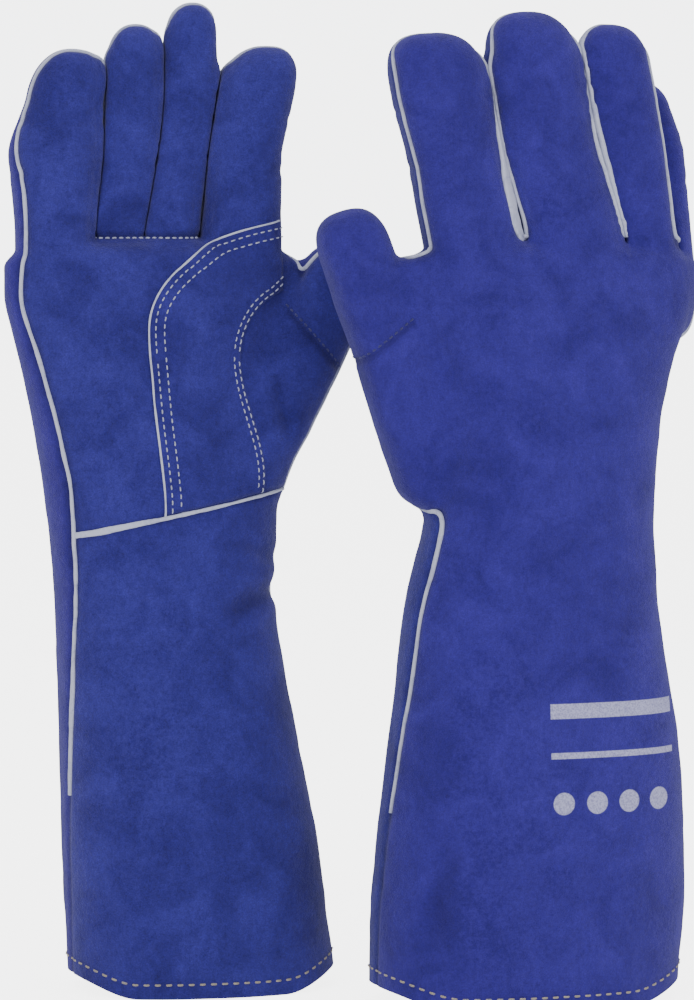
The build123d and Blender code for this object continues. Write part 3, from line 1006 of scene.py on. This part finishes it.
def make_piece(form, name, surface, material, slot, nodes=(), body=None, across=None):
    """A mesh object from a surface, with its material, its place in the frame and its CAD nodes.

    Leather pieces also carry how near a seam or fold each point is, which sets painted shade there, and how
    rubbed each point is.
    """
    name = f"{form.glove}_{name}"
    mesh = bpy.data.meshes.new(name)
    mesh.from_pydata(form.own.to_row(surface.points).tolist(), [], surface.tris.tolist())
    values = {"seam": None, "rub": None}
    if slot.endswith("leather"):
        far = form.parts(surface.points)
        # The seam value sets painted shade: darker in the seams and the folds.
        seam = form.seam_nearness(surface.points, far) + FOLD_PAINTED_SHADE * form.folds(surface.points, far)
        values = {"seam": seam, "rub": 0.5 - form.relief(surface.points, far)}
    for key, value in values.items():
        mesh.attributes.new(key, "FLOAT", "POINT")
        if value is not None:
            mesh.attributes[key].data.foreach_set("value", np.clip(value, 0, 1).astype(np.float32))
    mesh.attributes.new("rest", "FLOAT_VECTOR", "POINT")
    mesh.attributes["rest"].data.foreach_set("vector", surface.points.astype(np.float32).ravel())
    mesh.polygons.foreach_set("use_smooth", np.ones(len(mesh.polygons), bool))
    mesh.materials.append(material)
    mesh.update()
    mesh.normals_split_custom_set_from_vertices((surface.normals @ form.own.axes).tolist())
    piece = bpy.data.objects.new(name, mesh)
    bpy.context.scene.collection.objects.link(piece)
    if across:
        lower, upper, start, end = across
        form.own.to_row(start)
        form.own.to_row(end)
        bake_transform(piece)
    else:
        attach(piece, f"{form.glove}_{body}")
    if nodes:
        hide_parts(*[f"{form.glove}_{node}" for node in nodes])


def stretch_of(form, points, digits=DIGITS):
    """Which digit each point is on, or hand."""
    far = form.parts(points)
    names = np.full(len(points), "hand", "U10")
    for name in digits:
        names[form.digit_side(name, points, far) > 0] = name
    return names


def bend_across(form, stretch):
    """Which bodies a stretch lies between, and where a bend between them would start and end."""
    if stretch in ("cuff", "hand"):
        z = form.own.wrist_z
        return "cuff", "hand", (0, 0, z - WRIST_BEND_REACH), (0, 0, z + WRIST_BEND_REACH)
    if stretch in ("thumb", "thumb_root"):
        tube = form.thumb
        start, end = (tube.pivot + tube.along * way for way in THUMB_BEND_WAYS)
        return "hand", "thumb", start, end
    z = form.knuckle_z
    return "hand", stretch, (0, 0, z - FINGER_BASE + 0.5), (0, 0, z + FINGER_BASE + 4)


def panel_surfaces(form, surface):
    """The leather cut along its seams: {(stretch, side): surface}."""
    surface = surface.split(form.seam_side(surface.points))
    for name in DIGITS:
        surface = surface.split(form.digit_side(name, surface.points))
    surface = surface.split(form.wrist_side(surface.points))
    centres = surface.centres()
    back = form.seam_side(centres) > 0
    stretch = stretch_of(form, centres)
    stretch[(stretch == "hand") & (form.wrist_side(centres) <= 0)] = "cuff"
    panels = {("cuff", "back"): surface.kept(back & np.isin(stretch, ("cuff", "hand"))),
              ("cuff", "front"): surface.kept(~back & (stretch == "cuff")),
              ("hand", "front"): surface.kept(~back & (stretch == "hand"))}
    for name in DIGITS:
        panels[name, "back"] = surface.kept(back & (stretch == name))
        panels[name, "front"] = surface.kept(~back & (stretch == name))
    return panels


def add_panels(form, surface, leathers):
    """The leather panels, each thickened to the inside."""
    panels = panel_surfaces(form, surface)
    nodes = {("cuff", "back"): ("cuff_back", "hand_back"), ("cuff", "front"): ("cuff_front",),
             ("hand", "front"): ("palm",)}
    names = {("cuff", "back"): "back_panel", ("cuff", "front"): "cuff_front_panel",
             ("hand", "front"): "palm_panel"}
    for (stretch, side), panel in panels.items():
        name = names.get((stretch, side), f"{stretch}_{side}_panel")
        stands_for = nodes.get((stretch, side), () if stretch == "thumb_root" else (f"{stretch}_{side}",))
        slot = "back_leather" if side == "back" else "palm_leather"
        make_piece(form, name, thickened(panel, LEATHER), leathers[side], slot, stands_for,
                   across=bend_across(form, stretch))


def add_lining(form, material):
    """The cloth lining, one sleeve for the cuff and hand and one for each digit."""
    lining = glove_surface(form, LINING_GRID, -LINING_DEPTH)
    digits = DIGITS[:-1]
    for name in digits:
        lining = lining.split(form.digit_side(name, lining.points))
    centres = lining.centres()
    stretch = stretch_of(form, centres, digits)
    above_hem = form.hem_height(centres) > LINING_ABOVE_HEM
    for stretch_name in ("hand", *digits):
        name = stretch_name.removesuffix("_root")
        part = thickened(lining.kept((stretch == stretch_name) & above_hem), LINING)
        nodes = ("cuff_lining", "hand_lining") if name == "hand" else (f"{name}_lining",)
        make_piece(form, f"{name}_lining_cloth", part, material, "lining", nodes,
                   across=bend_across(form, name))


def runs(names):
    """Start and end of each run of equal names."""
    breaks = np.flatnonzero(names[1:] != names[:-1]) + 1
    edges = [0, *breaks.tolist(), len(names)]
    return list(zip(edges[:-1], edges[1:]))


def welt_spread(form, name):
    """How many times the usual width a welt is at each of its points."""
    wide = form.style["wide_welts"]

    def spread(points):
        if name == "hand":
            low, high, most = wide["hand"]
            bulge = ramp(points[:, 2], low - 12, low + 4) * ramp(high - points[:, 2], -12, 4)
            return 1 + (most - 1) * bulge
        if name not in wide:
            return np.ones(len(points))
        side, at_tip, at_base = wide[name]
        tube = form.fingers[name]
        across, _, way = tube.local(points)
        across = across - np.interp(way, tube.ways, tube.tables[0])
        base = form.knuckle_z - FINGER_BASE
        down = ramp(tube.tip - way, 0.1 * (tube.tip - base), 0.9 * (tube.tip - base))
        on_side = ramp(across * side, 0, 6)
        return 1 + on_side * (at_tip + (at_base - at_tip) * down - 1)

    return spread


def add_side_welts(form, surface, material):
    """The welts in the side seams, one piece for each digit and one for the hand and cuff."""
    style = form.style
    line = softened(evened(longest(surface.traced(form.seam_side(surface.points))), 1.2), 8)
    names = stretch_of(form, line)
    strips = {}
    for start, end in runs(names):
        part = line[max(start - 1, 0):end + 1]
        name = names[start]
        if name == "hand":
            part = part[part[:, 2] > style["welt_end_z"]]
        if len(part) > 4:
            strip = welt(form, part, style["welt_width"], WELT_HEIGHT, WELT_LIFT, start * 0.37,
                         welt_spread(form, name))
            strips.setdefault(name, []).append(strip)
    for name, parts in strips.items():
        hand = name == "hand"
        nodes = () if name == "thumb_root" else (f"{name}_welt",)
        make_piece(form, "side_welts" if hand else f"{name}_edge_welt", joined(parts), material, "welt",
                   ("hand_welts", "cuff_welts") if hand else nodes,
                   across=bend_across(form, name))


def add_wrist_welt(form, surface, material):
    """The welt in the slanting wrist seam of the palm, thicker on the little finger's side."""
    centres = surface.centres()
    near = np.abs(form.wrist_side(centres)) < 8
    part = surface.kept(near & (form.seam_side(centres) < -0.3))
    line = longest(part.traced(form.wrist_side(part.points)))

    def spread(points):
        return 1.6 - 0.9 * ramp(points[:, 0], -50, 30)

    strip = welt(form, line, WRIST_WELT_WIDTH, 0.8, 0.15, 5, spread)
    make_piece(form, "wrist_welt", strip, material, "welt", across=bend_across(form, "hand"))


def away_from(points, line):
    """How far (x, z) points are from a line."""
    start, run = line[:-1], np.diff(line, axis=0)
    away = points[:, None] - start
    share = np.clip((away * run).sum(2) / (run ** 2).sum(1), 0, 1)
    return np.linalg.norm(away - share[..., None] * run, axis=2).min(1)


def depth_inside(points, outline):
    """How far (x, z) points are inside a closed outline, below 0 outside it."""
    a, b = outline, np.roll(outline, -1, axis=0)
    x, z = points[:, :1], points[:, 1:]
    rise = np.where(b[:, 1] == a[:, 1], 1e-9, b[:, 1] - a[:, 1])
    crossed = ((a[:, 1] > z) != (b[:, 1] > z)) & (x < a[:, 0] + (b[:, 0] - a[:, 0]) * (z - a[:, 1]) / rise)
    near = away_from(points, np.vstack([outline, outline[:1]]))
    return np.where(crossed.sum(1) % 2 == 1, near, -near)


def patch_edges(form):
    """The palm patch's little-finger side and thumb side, as (x, z) lines measured from its CAD node."""
    ends = cad_edges(form.own, [f"{form.glove}_palm_patch"])
    heights = np.linspace(ends[..., 2].min() + 0.3, ends[..., 2].max() - 0.3, 60)
    rows = [slice_at(ends, z)[:, 0] for z in heights]
    return (np.array([(row.min(), z) for row, z in zip(rows, heights)]),
            np.array([(row.max(), z) for row, z in zip(rows, heights)]))


def longest(lines):
    return max(lines, key=len)


def add_patch(form, surface, materials):
    """The leather patch sewn over the palm beside the thumb, its pale cut edge and its rows of stitches.

    It is made as a lower half and an upper half, parted at a set height.
    """
    outer, inner = patch_edges(form)
    below = outer[:1] - (0, PATCH_BELOW), inner[:1] - (0, PATCH_BELOW)
    outline = np.vstack([below[0], outer, inner[::-1], below[1]])
    centres = surface.centres()
    low, high = outline.min(0) - 3, outline.max(0) + 3
    near = ((centres[:, (0, 2)] > low) & (centres[:, (0, 2)] < high)).all(1)
    palm = surface.kept(near & (form.seam_side(centres) < 0))

    def inside(points):
        return np.min([depth_inside(points[:, (0, 2)], outline), form.wrist_side(points) - 1.2,
                       -form.seam_side(points) - PATCH_SEAM_GAP], axis=0)

    patch = palm.split(inside(palm.points))
    patch = patch.kept(inside(patch.centres()) > 0)
    patch = patch.split(patch.points[:, 2] - PATCH_PART_Z)
    rise = PATCH_RISE * np.sqrt(np.clip(inside(patch.points) / PATCH_ROUND, 0, 1))
    raised = Surface(patch.points + patch.normals * rise[:, None], patch.tris)
    inner = inner[:np.argmax(inner[:, 0] > inner[:, 0].max() - 1.5)]
    inner = np.vstack([below[1], inner, inner[-1] + unit(inner[-1] - inner[-5]) * 15])
    outer = np.vstack([below[0], outer])
    flat = patch.points[:, (0, 2)]
    away = {"outer": away_from(flat, outer), "inner": away_from(flat, inner)}
    rows = [longest(patch.traced(away[edge] - inset)) for edge, inset in PATCH_ROWS]
    edge = longest(patch.traced(away["outer"] - 0.3))
    for half, across in (("lower", bend_across(form, "hand")), ("upper", bend_across(form, "index"))):
        def mine(points, upper=half == "upper"):
            return (points[:, 2] > PATCH_PART_Z) == upper

        leather = thickened(raised.kept(mine(raised.centres())), PATCH_RISE + 0.3)
        make_piece(form, f"palm_patch_{half}", leather, materials["patch"], "palm_leather", ("palm_patch",),
                   across=across)
        stitches = joined([dashes(form, row[mine(row)], *PATCH_STITCH) for row in rows])
        make_piece(form, f"patch_stitches_{half}", stitches, materials["thread"], "thread",
                   ("patch_stitching",), across=across)
        strip = welt(form, edge[mine(edge)], 0.42, 0.5, 0.55, 17)
        make_piece(form, f"patch_cut_edge_{half}", strip, materials["cut_edge"], "welt", across=across)


def add_hem_stitches(form, surface, material):
    line = longest(surface.traced(form.hem_height(surface.points) - HEM_STITCH_RISE))
    line = np.vstack([line, line[:1]])
    make_piece(form, "hem_stitches", dashes(form, line, *HEM_STITCH), material, "thread", body="cuff")


def add_thumb_seam_stitches(form, surface, material):
    """The dark stitches round the thumb, just past the seam that joins it to the hand."""
    centres = surface.centres()
    part = surface.kept(form.digit_side("thumb_root", centres) > 0)
    across, _, way = form.thumb.local(part.points)
    line = longest(part.traced(way - THUMB_SEAM_WAY + THUMB_SEAM_SLOPE * across - THUMB_STITCH_PAST))
    make_piece(form, "thumb_seam_stitches", dashes(form, line, *THUMB_STITCH), material, "thread",
               across=bend_across(form, "thumb"))


def add_finger_base_stitches(form, surface, material):
    """The row of stitches on the palm under the middle and ring fingers."""
    centres = surface.centres()
    far = form.parts(centres)
    under = np.minimum(far["middle"], far["ring"]) < np.minimum(far["index"], far["little"])
    near = np.abs(centres[:, 2] - form.knuckle_z + FINGER_BASE) < 8
    part = surface.kept(under & near & (form.seam_side(centres, far) < -2))
    line = longest(part.traced(part.points[:, 2] - form.knuckle_z + FINGER_BASE + 0.8))
    stitches = dashes(form, line, *BASE_STITCH)
    make_piece(form, "finger_base_stitches", stitches, material, "thread", body="hand")




def add_glove(form, materials):
    surface = glove_surface(form, GRID)
    add_panels(form, surface, materials)
    add_lining(form, materials["lining"])
    add_side_welts(form, surface, materials["welt"])
    add_wrist_welt(form, surface, materials["welt"])
    add_patch(form, surface, {**materials, "patch": materials["front"]})
    add_hem_stitches(form, surface, materials["hem_thread"])
    add_finger_base_stitches(form, surface, materials["thread"])
    add_thumb_seam_stitches(form, surface, materials["dark_thread"])


def add_stage():
    """A wide pale floor, soft lights and a pale world that the camera sees as white."""
    low, high = cad_box
    span = high.z - low.z
    reach = FLOOR_REACH * span
    verts = [(x, y, low.z) for x, y in ((-reach, -reach), (reach, -reach), (reach, reach), (-reach, reach))]
    mesh = bpy.data.meshes.new("floor")
    mesh.from_pydata(verts, [], [(0, 1, 2, 3)])
    floor = bpy.data.objects.new("floor", mesh)
    bpy.context.scene.collection.objects.link(floor)
    n = Nodes("floor_paint")
    place = n.add("ShaderNodeTexCoord").outputs["Object"]
    speck = n.noise(place, 60.0, 3.0)
    paint = n.mix(speck, (0.86, 0.86, 0.86), (0.9, 0.9, 0.9))
    seen = n.add("ShaderNodeLightPath").outputs["Is Camera Ray"]
    glow = n.math("ADD", n.math("MULTIPLY", seen, FLOOR_GLOW_SEEN), FLOOR_GLOW)
    mesh.materials.append(n.finish(paint, 0.7, speck, 0.0001, sheen=0.0, glow=glow))
    for name, place, size, power in LIGHTS:
        light = bpy.data.lights.new(name, "AREA")
        light.size = size * span
        light.energy = power * span * span
        lamp = bpy.data.objects.new(name, light)
        lamp.location = Vector(place) * span
        lamp.rotation_euler = (Vector((0, 0, span / 2)) - lamp.location).to_track_quat("-Z", "Y").to_euler()
        bpy.context.scene.collection.objects.link(lamp)
    world = bpy.data.worlds.new("studio")
    world.use_nodes = True
    sky = world.node_tree
    background = sky.nodes["Background"]
    background.inputs["Color"].default_value = (0.97, 0.98, 1.0, 1.0)
    seen = sky.nodes.new("ShaderNodeLightPath").outputs["Is Camera Ray"]
    strength = sky.nodes.new("ShaderNodeMapRange")
    strength.inputs["To Min"].default_value = WORLD_LIGHT
    strength.inputs["To Max"].default_value = FLOOR_GLOW_SEEN + 1
    sky.links.new(seen, strength.inputs["Value"])
    sky.links.new(strength.outputs["Result"], background.inputs["Strength"])
    bpy.context.scene.world = world


def add_camera():
    low, high = cad_box
    middle = (low + high) / 2
    elevation = math.radians(CAMERA_ELEVATION)
    back = Vector((0, -math.cos(elevation), math.sin(elevation)))
    camera = bpy.data.cameras.new("camera")
    camera.lens = camera.sensor_width * CAMERA_DISTANCE / ((high.z - low.z) * FRAME_SHARE)
    camera.clip_end = 50
    thing = bpy.data.objects.new("camera", camera)
    thing.location = middle + back * CAMERA_DISTANCE
    thing.rotation_euler = (-back).to_track_quat("-Z", "Y").to_euler()
    bpy.context.scene.collection.objects.link(thing)
    bpy.context.scene.camera = thing



palm_blue = suede("suede_palm", *PALM_BLUE, 1.1, 0.26)
materials = {
    "welt": pale_leather("welt_suede"),
    "cut_edge": pale_leather("cut_edge_suede"),
    "thread": thread_material("stitch_thread", (0.60, 0.63, 0.84)),
    "hem_thread": thread_material("hem_thread", (0.50, 0.44, 0.36)),
    "dark_thread": thread_material("dark_thread", (0.05, 0.05, 0.20)),
    "lining": lining_material("lining_cotton"),
}
forms = {glove: Form(glove, STYLES[glove]) for glove in STYLES}
for glove, form in forms.items():
    printed = form if glove == "glove2" else None
    back_blue = suede(f"suede_back_{glove}", *BACK_BLUE, 1.6, 0.20, printed)
    add_glove(form, {**materials, "back": back_blue, "front": palm_blue})
add_stage()
add_camera()
